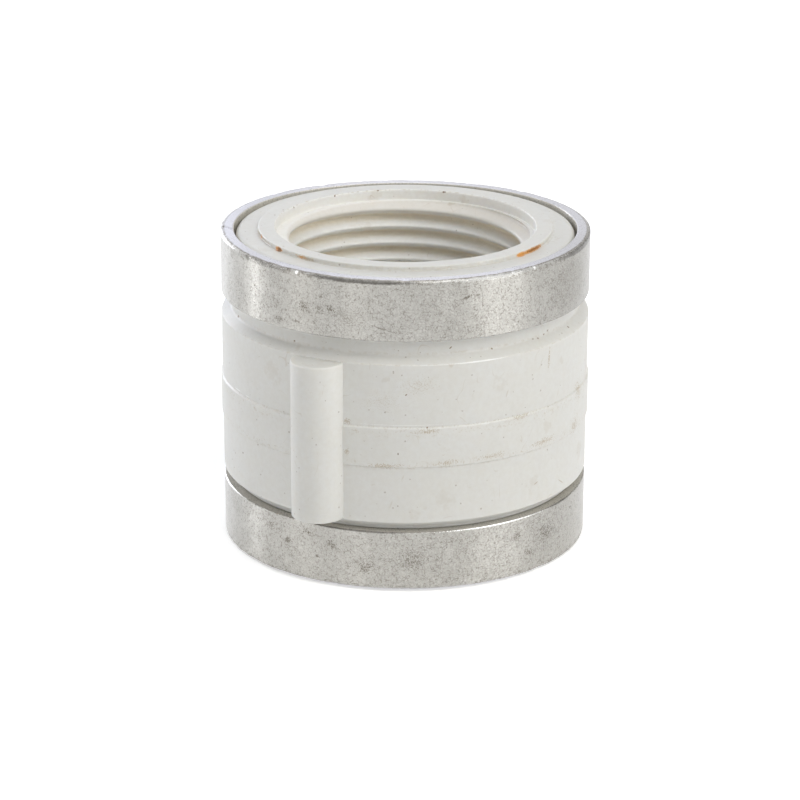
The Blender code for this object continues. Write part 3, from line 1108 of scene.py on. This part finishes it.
def build_ring(name, sizes, open_z, collar_z, material, seed, nick=None):
    """Turn one metal ring, bevelled at its open end, then wear it."""
    inner = sizes.outer_radius - sizes.wall
    inward = math.copysign(1.0, collar_z - open_z)
    corners = [
        (inner, open_z, 1.5 * sizes.edge_round),
        (sizes.outer_radius - sizes.bevel_width, open_z, 0.5 * sizes.edge_round),
        (sizes.outer_radius, open_z + inward * sizes.bevel_height, 0.8 * sizes.edge_round),
        (sizes.outer_radius, collar_z, sizes.edge_round),
        (inner, collar_z, sizes.edge_round),
    ]
    outline = split_long_sides(rounded_outline(corners), sizes.row_height)
    turns = even_turns(sizes.turned_steps)
    if nick:
        middle = (nick[0] + nick[1]) / 2.0
        facing = math.atan2(middle.y, middle.x)
        turns = crowded_turns(sizes.turned_steps, facing, NICK_SPREAD, NICK_STEPS)
    mesh = turned_mesh(name, outline, turns)
    wear_ring(mesh, sizes, open_z, inward, seed, nick)
    tidy_mesh(mesh)
    ring = link(bpy.data.objects.new(name, mesh))
    mesh.materials.append(material)
    return ring


class COUPLING_OT_make_body(bpy.types.Operator):
    """Build the moulded body with its thread, lips, shoulders, band and ribs"""

    bl_idname = "coupling.make_body"
    bl_label = "Moulded Body"

    def execute(self, context):
        scene = context.scene
        sizes = scene.coupling_body
        body = build_body(sizes, make_plastic(scene.coupling_finish, sizes))
        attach(body, "root")
        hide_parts("coupling_body")
        return {"FINISHED"}


class COUPLING_OT_make_rings(bpy.types.Operator):
    """Build the two pressed metal rings"""

    bl_idname = "coupling.make_rings"
    bl_label = "Metal Rings"

    def execute(self, context):
        scene = context.scene
        finish = scene.coupling_finish
        sizes = scene.coupling_rings
        upper = (UPPER_RING_BOX[1].z, UPPER_RING_BOX[0].z)
        lower = (LOWER_RING_BOX[0].z, LOWER_RING_BOX[1].z)
        upper_metal = make_metal(finish, sizes, "upper_ring_metal", upper, UPPER_MARKS)
        lower_metal = make_metal(finish, sizes, "lower_ring_metal", lower, LOWER_MARKS)
        rings = [
            (build_ring("upper_ring_detail", sizes, *upper, upper_metal, UPPER_WEAR, NICK), "upper_ring"),
            (build_ring("lower_ring_detail", sizes, *lower, lower_metal, LOWER_WEAR), "lower_ring"),
        ]
        for ring, node in rings:
            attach(ring, "root")
            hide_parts(node)
        return {"FINISHED"}


# Marks, in millimetres and in degrees from the front rib

WALL_RADIUS = 24.0
COLLAR_RADIUS = 22.8
FACE_HEIGHT = 41.25
LIP_HEIGHT = 41.6
WALL_REACH = 1.5
FACE_REACH = 0.4


def wall_mark(degrees, height, along, up, tilt=0.0, ragged=1.0, strength=1.0, radius=WALL_RADIUS):
    """A mark on the outside, by its half length and half height, tilted up to the right."""
    return (degrees, radius, height, (WALL_REACH, along, up), tilt, ragged, strength)


def collar_mark(degrees, height, along, up, tilt=0.0, ragged=0.4, strength=1.0):
    """A mark on the collar and the shoulder under the upper ring."""
    return wall_mark(degrees, height, along, up, tilt, ragged, strength, COLLAR_RADIUS)


def face_mark(degrees, radius, along, out, ragged=1.0, strength=1.0, height=FACE_HEIGHT):
    """A mark on the upper end face, by its half length and half width."""
    return (degrees, radius, height, (out, along, FACE_REACH), 0.0, ragged, strength)


def lip_mark(degrees, radius, along, out, ragged=1.0, strength=1.0):
    """A mark on the flat of the upper lip."""
    return face_mark(degrees, radius, along, out, ragged, strength, LIP_HEIGHT)


UPPER_SCUFFS = [
    wall_mark(-4.6, 36.8, 1.4, 0.95, -35.0, 3.6),
    wall_mark(0.6, 36.8, 1.4, 0.8, -20.0, 4.0, 0.9),
    wall_mark(4.3, 37.0, 1.1, 0.8, -35.0, 3.4),
    wall_mark(1.1, 38.5, 0.6, 0.5, -50.0, 2.4, 0.7),
    wall_mark(-14.3, 34.5, 1.5, 0.5, 0.0, 2.6, 0.9),
    wall_mark(-7.2, 34.7, 1.4, 0.3, -5.0, 2.6, 0.7),
    wall_mark(-25.1, 37.8, 0.16, 0.16, 0.0, 0.3),
    wall_mark(-11.3, 35.9, 0.2, 0.15, -50.0, 0.3, 0.9),
    wall_mark(19.5, 35.1, 2.4, 0.16, -17.0, 1.2, 0.6),
    wall_mark(45.5, 38.85, 1.1, 0.3, 22.0, 2.0),
    wall_mark(48.8, 39.0, 0.7, 0.2, 8.0, 1.6, 0.8),
    wall_mark(9.0, 36.3, 2.4, 1.8, 0.0, 3.0, 0.35),
    wall_mark(88.0, 37.5, 7.5, 4.5, 0.0, 1.2, 0.28),
]
LOWER_SCUFFS = [
    wall_mark(-18.2, 6.25, 2.6, 1.1, -10.0, 5.0, 0.9),
    wall_mark(-11.4, 4.95, 0.75, 0.65, 0.0, 1.5, 0.9),
    wall_mark(-3.8, 6.67, 1.4, 0.7, -20.0, 4.0),
    wall_mark(4.1, 5.64, 1.5, 0.8, -30.0, 4.0),
    wall_mark(-0.7, 3.77, 0.5, 0.3, 0.0, 1.8),
    wall_mark(14.9, 3.34, 2.4, 1.7, 0.0, 4.2),
    wall_mark(29.2, 4.13, 2.8, 2.4, 0.0, 5.0),
    wall_mark(38.3, 4.91, 0.1, 1.6, 0.0, 0.8, 0.5),
    wall_mark(63.7, 5.77, 1.6, 0.9, 15.0, 4.2),
    wall_mark(76.4, 4.85, 3.4, 2.2, 0.0, 4.8),
    wall_mark(68.7, 3.01, 1.2, 0.7, -25.0, 4.0, 0.9),
    wall_mark(91.1, 6.29, 0.7, 0.3, 0.0, 2.0, 0.8),
]
# Painted shade, partly dirt, at set places along the bevel of the upper ring.
UPPER_EDGE_SHADE_AND_DIRT = [
    wall_mark(14.0, 41.05, 9.5, 0.5, 0.0, 0.7, 0.9),
    wall_mark(-22.0, 41.05, 7.5, 0.5, 0.0, 2.0, 0.6),
    wall_mark(104.0, 41.05, 13.0, 0.5, 0.0, 0.5, 0.75),
    wall_mark(55.0, 41.05, 10.0, 0.4, 0.0, 2.4, 0.7),
]
# Painted highlights at set places along the bevel of the upper ring.
UPPER_EDGE_HIGHLIGHTS = [
    wall_mark(54.0, 41.05, 10.5, 0.5, 0.0, 2.4, 0.8),
    wall_mark(60.8, 41.2, 0.35, 0.4, 0.0, 0.3),
    wall_mark(68.9, 41.2, 0.25, 0.4, 0.0, 0.3),
    wall_mark(-7.3, 41.1, 0.25, 0.35, 0.0, 0.3),
    wall_mark(-50.0, 41.2, 8.5, 0.6, 0.0, 2.6, 0.45),
]
# Painted highlights along the top and bottom edges of the lower ring.
LOWER_EDGE_HIGHLIGHTS = [
    wall_mark(-52.0, 8.1, 11.0, 0.4, 0.0, 1.4),
    wall_mark(57.0, 8.1, 12.0, 0.4, 0.0, 1.8, 0.9),
    wall_mark(27.0, 0.4, 30.0, 0.5, 0.0, 2.4, 0.6),
]
# Painted shade, partly dirt, along the edges of the lower ring.
LOWER_EDGE_SHADE_AND_DIRT = [
    wall_mark(12.0, 8.1, 8.5, 0.4, 0.0, 1.0, 0.8),
    wall_mark(-26.0, 8.1, 2.6, 0.4, 0.0, 1.8, 0.7),
    wall_mark(84.0, 8.1, 4.0, 0.4, 0.0, 1.6, 0.7),
    wall_mark(27.0, 0.4, 30.0, 0.5, 0.0, 2.0, 0.5),
]
# Each ring's scuffs, its painted edge shade with some dirt, and its painted edge highlights.
UPPER_MARKS = (UPPER_SCUFFS, UPPER_EDGE_SHADE_AND_DIRT, UPPER_EDGE_HIGHLIGHTS)
LOWER_MARKS = (LOWER_SCUFFS, LOWER_EDGE_SHADE_AND_DIRT, LOWER_EDGE_HIGHLIGHTS)

PLASTIC_SMEARS = [
    wall_mark(21.2, 17.1, 3.8, 0.6, 2.0, 4.0),
    wall_mark(39.5, 17.4, 2.6, 0.6, 2.0, 4.0),
    wall_mark(54.0, 17.6, 3.2, 0.6, 2.0, 4.2),
    wall_mark(73.6, 17.7, 3.4, 0.7, 2.0, 4.0),
    wall_mark(33.4, 21.7, 2.2, 0.5, 0.0, 3.6),
    wall_mark(63.6, 22.0, 3.0, 0.5, 2.0, 4.0, 0.9),
    wall_mark(9.4, 22.66, 0.7, 0.6, 0.0, 3.0, 0.9),
    wall_mark(9.4, 18.67, 0.6, 0.7, 0.0, 3.0, 0.8),
    wall_mark(76.1, 28.5, 0.3, 2.4, -3.0, 3.0, 0.9),
    wall_mark(94.7, 22.0, 1.8, 1.9, 0.0, 4.2),
    wall_mark(91.9, 17.58, 1.9, 2.0, 0.0, 4.2),
    wall_mark(71.2, 12.25, 0.5, 0.12, 20.0, 0.8, 0.9),
    wall_mark(84.0, 10.9, 1.0, 0.08, -35.0, 0.5, 0.9),
    wall_mark(31.0, 27.7, 3.6, 1.8, 10.0, 5.4, 0.4),
    wall_mark(20.0, 25.5, 3.6, 2.0, 0.0, 5.4, 0.3),
    face_mark(-51.0, 19.15, 5.6, 0.28, 1.4, 0.9),
    face_mark(-14.0, 19.1, 2.6, 0.4, 2.2, 0.9),
    face_mark(84.0, 19.15, 3.4, 0.5, 1.0, 0.7),
]
PLASTIC_GRIME = [
    wall_mark(33.5, 22.18, 0.12, 0.12, 0.0, 0.3),
    wall_mark(24.9, 18.77, 0.1, 0.2, 0.0, 0.4),
    wall_mark(27.2, 26.52, 0.2, 0.1, 30.0, 0.4),
    wall_mark(-23.4, 8.86, 0.3, 0.25, 0.0, 0.8),
    collar_mark(-43.4, 31.4, 0.3, 0.18),
    collar_mark(-10.6, 31.55, 0.16, 0.13),
    collar_mark(41.2, 32.06, 0.26, 0.1, 40.0),
    collar_mark(55.1, 31.3, 0.15, 0.13),
    collar_mark(77.1, 31.38, 0.22, 0.1, 20.0, 0.4, 0.8),
    collar_mark(90.7, 30.95, 0.18, 0.14, 0.0, 0.4, 0.9),
    collar_mark(79.2, 31.66, 0.25, 0.16, 20.0, 0.6, 0.7),
    collar_mark(73.8, 31.2, 0.25, 0.12, 0.0, 0.6, 0.6),
    collar_mark(71.6, 31.3, 0.3, 0.12, 0.0, 0.8, 0.5),
    face_mark(-18.0, 18.8, 0.14, 0.14, 0.4),
    lip_mark(-10.6, 17.8, 0.12, 0.12, 0.4, 0.8),
    face_mark(23.3, 19.6, 0.17, 0.13, 0.3),
    lip_mark(-76.4, 17.6, 0.16, 0.12, 0.4),
    lip_mark(-85.0, 17.4, 0.18, 0.12, 0.4),
    lip_mark(-92.3, 16.9, 0.15, 0.12, 0.4),
    lip_mark(-99.7, 16.7, 0.15, 0.12, 0.4),
    lip_mark(-119.0, 16.9, 0.2, 0.12, 0.5),
    lip_mark(-140.5, 17.0, 0.2, 0.12, 0.5),
    lip_mark(-171.2, 16.9, 0.45, 0.15, 1.2),
]
# Painted highlights: bright lines along the band's top edge and the wall's top edge.
PLASTIC_PAINTED_HIGHLIGHTS = [
    wall_mark(-58.0, 22.5, 2.6, 0.09, 0.0, 0.8),
    wall_mark(-36.5, 22.5, 1.1, 0.1, 0.0, 0.6),
    wall_mark(-30.0, 22.4, 0.7, 0.08, 0.0, 1.2, 0.8),
    wall_mark(27.0, 22.5, 9.0, 0.08, 0.0, 1.8, 0.6),
    wall_mark(49.6, 30.32, 5.0, 0.13, 0.0, 0.9),
    wall_mark(36.0, 30.32, 5.0, 0.08, 0.0, 1.6, 0.6),
]
LIP_RUST = [
    face_mark(84.0, 19.1, 3.9, 0.42, 1.1),
    face_mark(76.5, 19.15, 1.3, 0.5, 0.8, 1.0),
    face_mark(65.0, 18.8, 0.26, 0.2, 0.5, 0.6),
    face_mark(-48.0, 19.05, 0.6, 0.25, 0.6, 0.9),
    face_mark(-38.6, 18.9, 0.5, 0.3, 0.9, 0.7),
    face_mark(-30.0, 19.15, 1.1, 0.55, 0.7, 1.0),
    face_mark(-16.0, 19.0, 1.4, 0.35, 2.0, 0.8),
]
LIP_SCALE = [
    face_mark(85.0, 19.1, 3.0, 0.3, 2.2, 0.9),
    face_mark(-29.5, 19.25, 0.8, 0.36, 1.0),
    face_mark(-48.0, 19.05, 0.2, 0.12, 0.6, 0.7),
]


# Stage

WORLD_STRENGTH = 0.05
FLOOR_GLOW = 0.42
FLOOR_TONES = ((0.93, 0.93, 0.93, 1.0), (0.95, 0.95, 0.95, 1.0))
FLOOR_STEPS = 96
SENSOR_WIDTH = 36.0
CLIP = (0.01, 20.0)
LAMP_TARGET = Vector((0.0, 0.0, 0.02))

# Lamps as name, azimuth from the camera, elevation, distance, (width, height), power, colour
LAMPS = [
    ("key_high", 60.0, 40.0, 1.2, (0.8, 0.8), 6.2, (1.0, 0.99, 0.95)),
    ("key_low", 61.0, 7.0, 1.0, (0.6, 0.26), 1.55, (1.0, 1.0, 1.0)),
    ("front_high", 0.0, 54.0, 1.2, (0.8, 0.8), 3.2, (0.99, 1.0, 1.0)),
    ("left_high", -94.0, 35.0, 1.2, (0.5, 0.5), 0.75, (0.98, 0.97, 1.0)),
    ("left_low", -102.0, 5.0, 1.0, (0.1, 0.16), 1.6, (0.95, 0.97, 1.0)),
    ("left_front", -65.0, 10.0, 1.0, (0.3, 0.3), 0.64, (1.0, 0.98, 0.94)),
    ("front_low", -30.0, 10.0, 1.0, (0.3, 0.3), 0.5, (1.0, 0.98, 0.95)),
    ("left_back", -140.0, 12.0, 1.0, (0.3, 0.4), 2.8, (0.86, 0.9, 1.0)),
    ("back_low", -163.0, 10.0, 1.0, (0.45, 0.4), 0.45, (0.75, 0.8, 1.0)),
    ("back_high", 180.0, 50.0, 1.2, (0.8, 0.8), 2.2, (0.86, 0.9, 1.0)),
    ("overhead", 0.0, 88.0, 1.2, (0.8, 0.8), 2.4, (1.0, 1.0, 1.0)),
]


def background_rays(net):
    """One for the rays that show the background: to the camera, or by way of metal and glass."""
    path = net.add("ShaderNodeLightPath").outputs
    return net.strongest(*(path[f"Is {kind} Ray"] for kind in ("Camera", "Transmission", "Glossy")))


def make_floor_material():
    """Plain white floor."""
    material, net, shader, position = start_material("white_floor")
    paper = net.rising(net.noise(position, *PAPER), 0.3, 0.7)
    net.feed(shader["Base Color"], net.mix(paper, *FLOOR_TONES))
    net.feed(shader["Roughness"], 0.9)
    net.feed(shader["Specular IOR Level"], 0.1)
    net.feed(shader["Emission Color"], WHITE)
    net.feed(shader["Emission Strength"], net.times(background_rays(net), FLOOR_GLOW))
    return material


def make_floor(studio):
    """Flat round floor under the coupling."""
    mesh = bpy.data.meshes.new("studio_floor")
    bm = bmesh.new()
    bmesh.ops.create_circle(bm, cap_ends=True, segments=FLOOR_STEPS, radius=studio.floor_radius)
    bm.to_mesh(mesh)
    bm.free()
    floor = link(bpy.data.objects.new("studio_floor", mesh))
    mesh.materials.append(make_floor_material())


def make_camera(studio):
    """Camera at the viewing angle of the photograph."""
    data = bpy.data.cameras.new("camera")
    data.lens = studio.lens
    data.sensor_width = SENSOR_WIDTH
    data.clip_start, data.clip_end = CLIP
    camera = link(bpy.data.objects.new("camera", data))
    forward = Vector((0.0, math.cos(studio.pitch), -math.sin(studio.pitch)))
    side = Vector((1.0, 0.0, 0.0))
    above = side.cross(forward)
    right = side * math.cos(studio.roll) + above * math.sin(studio.roll)
    up = above * math.cos(studio.roll) - side * math.sin(studio.roll)
    turn = Matrix((right, up, -forward)).transposed().to_4x4()
    target = Vector((studio.target_side, 0.0, studio.target_height))
    place = Matrix.Translation(target - forward * studio.distance)
    camera.matrix_world = Matrix.Rotation(studio.azimuth, 4, "Z") @ place @ turn
    bpy.context.scene.camera = camera


def make_lamp(camera_azimuth, name, azimuth, elevation, distance, size, strength, tint):
    """Area lamp that looks at the coupling, placed from the camera's azimuth."""
    data = bpy.data.lights.new(name, "AREA")
    data.shape = "RECTANGLE"
    data.size, data.size_y = size
    data.energy = strength
    data.color = tint
    lamp = link(bpy.data.objects.new(name, data))
    turn = math.radians(azimuth + math.degrees(camera_azimuth))
    rise = math.radians(elevation)
    back = Vector((math.sin(turn) * math.cos(rise), -math.cos(turn) * math.cos(rise), math.sin(rise)))
    lamp.rotation_mode = "QUATERNION"
    lamp.location = LAMP_TARGET + back * distance
    lamp.rotation_quaternion = back.to_track_quat("Z", "Y")


def make_world():
    """Even white surroundings, at a low level for what they light."""
    world = bpy.data.worlds.new("studio_air")
    world.use_nodes = True
    net = Net(world.node_tree)
    background = world.node_tree.nodes["Background"].inputs
    net.feed(background["Color"], WHITE)
    level = net.math("MULTIPLY_ADD", background_rays(net), 1.0 - WORLD_STRENGTH, WORLD_STRENGTH)
    net.feed(background["Strength"], level)
    bpy.context.scene.world = world


class COUPLING_OT_make_stage(bpy.types.Operator):
    """Set the floor, the lamps, the surroundings and the camera"""

    bl_idname = "coupling.make_stage"
    bl_label = "Studio"

    def execute(self, context):
        scene = context.scene
        studio = scene.coupling_studio
        make_floor(studio)
        make_camera(studio)
        for lamp in LAMPS:
            make_lamp(studio.azimuth, *lamp)
        make_world()
        scene.view_settings.view_transform = "Standard"
        return {"FINISHED"}


# Panel and registration

class COUPLING_PT_panel(bpy.types.Panel):
    """Sizes, finishes and operators of the coupling"""

    bl_idname = "COUPLING_PT_panel"
    bl_label = "Conduit Coupling"
    bl_space_type = "VIEW_3D"
    bl_region_type = "UI"
    bl_category = "Coupling"

    def draw(self, context):
        layout = self.layout
        for group in PROPERTY_GROUPS:
            box = layout.box()
            holder = getattr(context.scene, group)
            for key in holder.bl_rna.properties.keys():
                if key not in ("rna_type", "name"):
                    box.prop(holder, key)
        for operator in OPERATORS:
            layout.operator(operator.bl_idname)


PROPERTY_GROUPS = {
    "coupling_body": CouplingBodySizes,
    "coupling_rings": CouplingRingSizes,
    "coupling_finish": CouplingFinish,
    "coupling_studio": CouplingStudio,
}
OPERATORS = (COUPLING_OT_make_body, COUPLING_OT_make_rings, COUPLING_OT_make_stage)
CLASSES = (*PROPERTY_GROUPS.values(), *OPERATORS, COUPLING_PT_panel)


def register():
    """Register the classes and hang their properties on the scene."""
    for cls in CLASSES:
        bpy.utils.register_class(cls)
    for key, cls in PROPERTY_GROUPS.items():
        setattr(bpy.types.Scene, key, bpy.props.PointerProperty(type=cls))


def unregister():
    """Take away what register added."""
    for key in PROPERTY_GROUPS:
        delattr(bpy.types.Scene, key)
    for cls in reversed(CLASSES):
        bpy.utils.unregister_class(cls)


def main():
    """Build the dressed coupling and its studio."""
    register()
    bpy.ops.coupling.make_body()
    bpy.ops.coupling.make_rings()
    bpy.ops.coupling.make_stage()


if __name__ == "__main__":
    main()
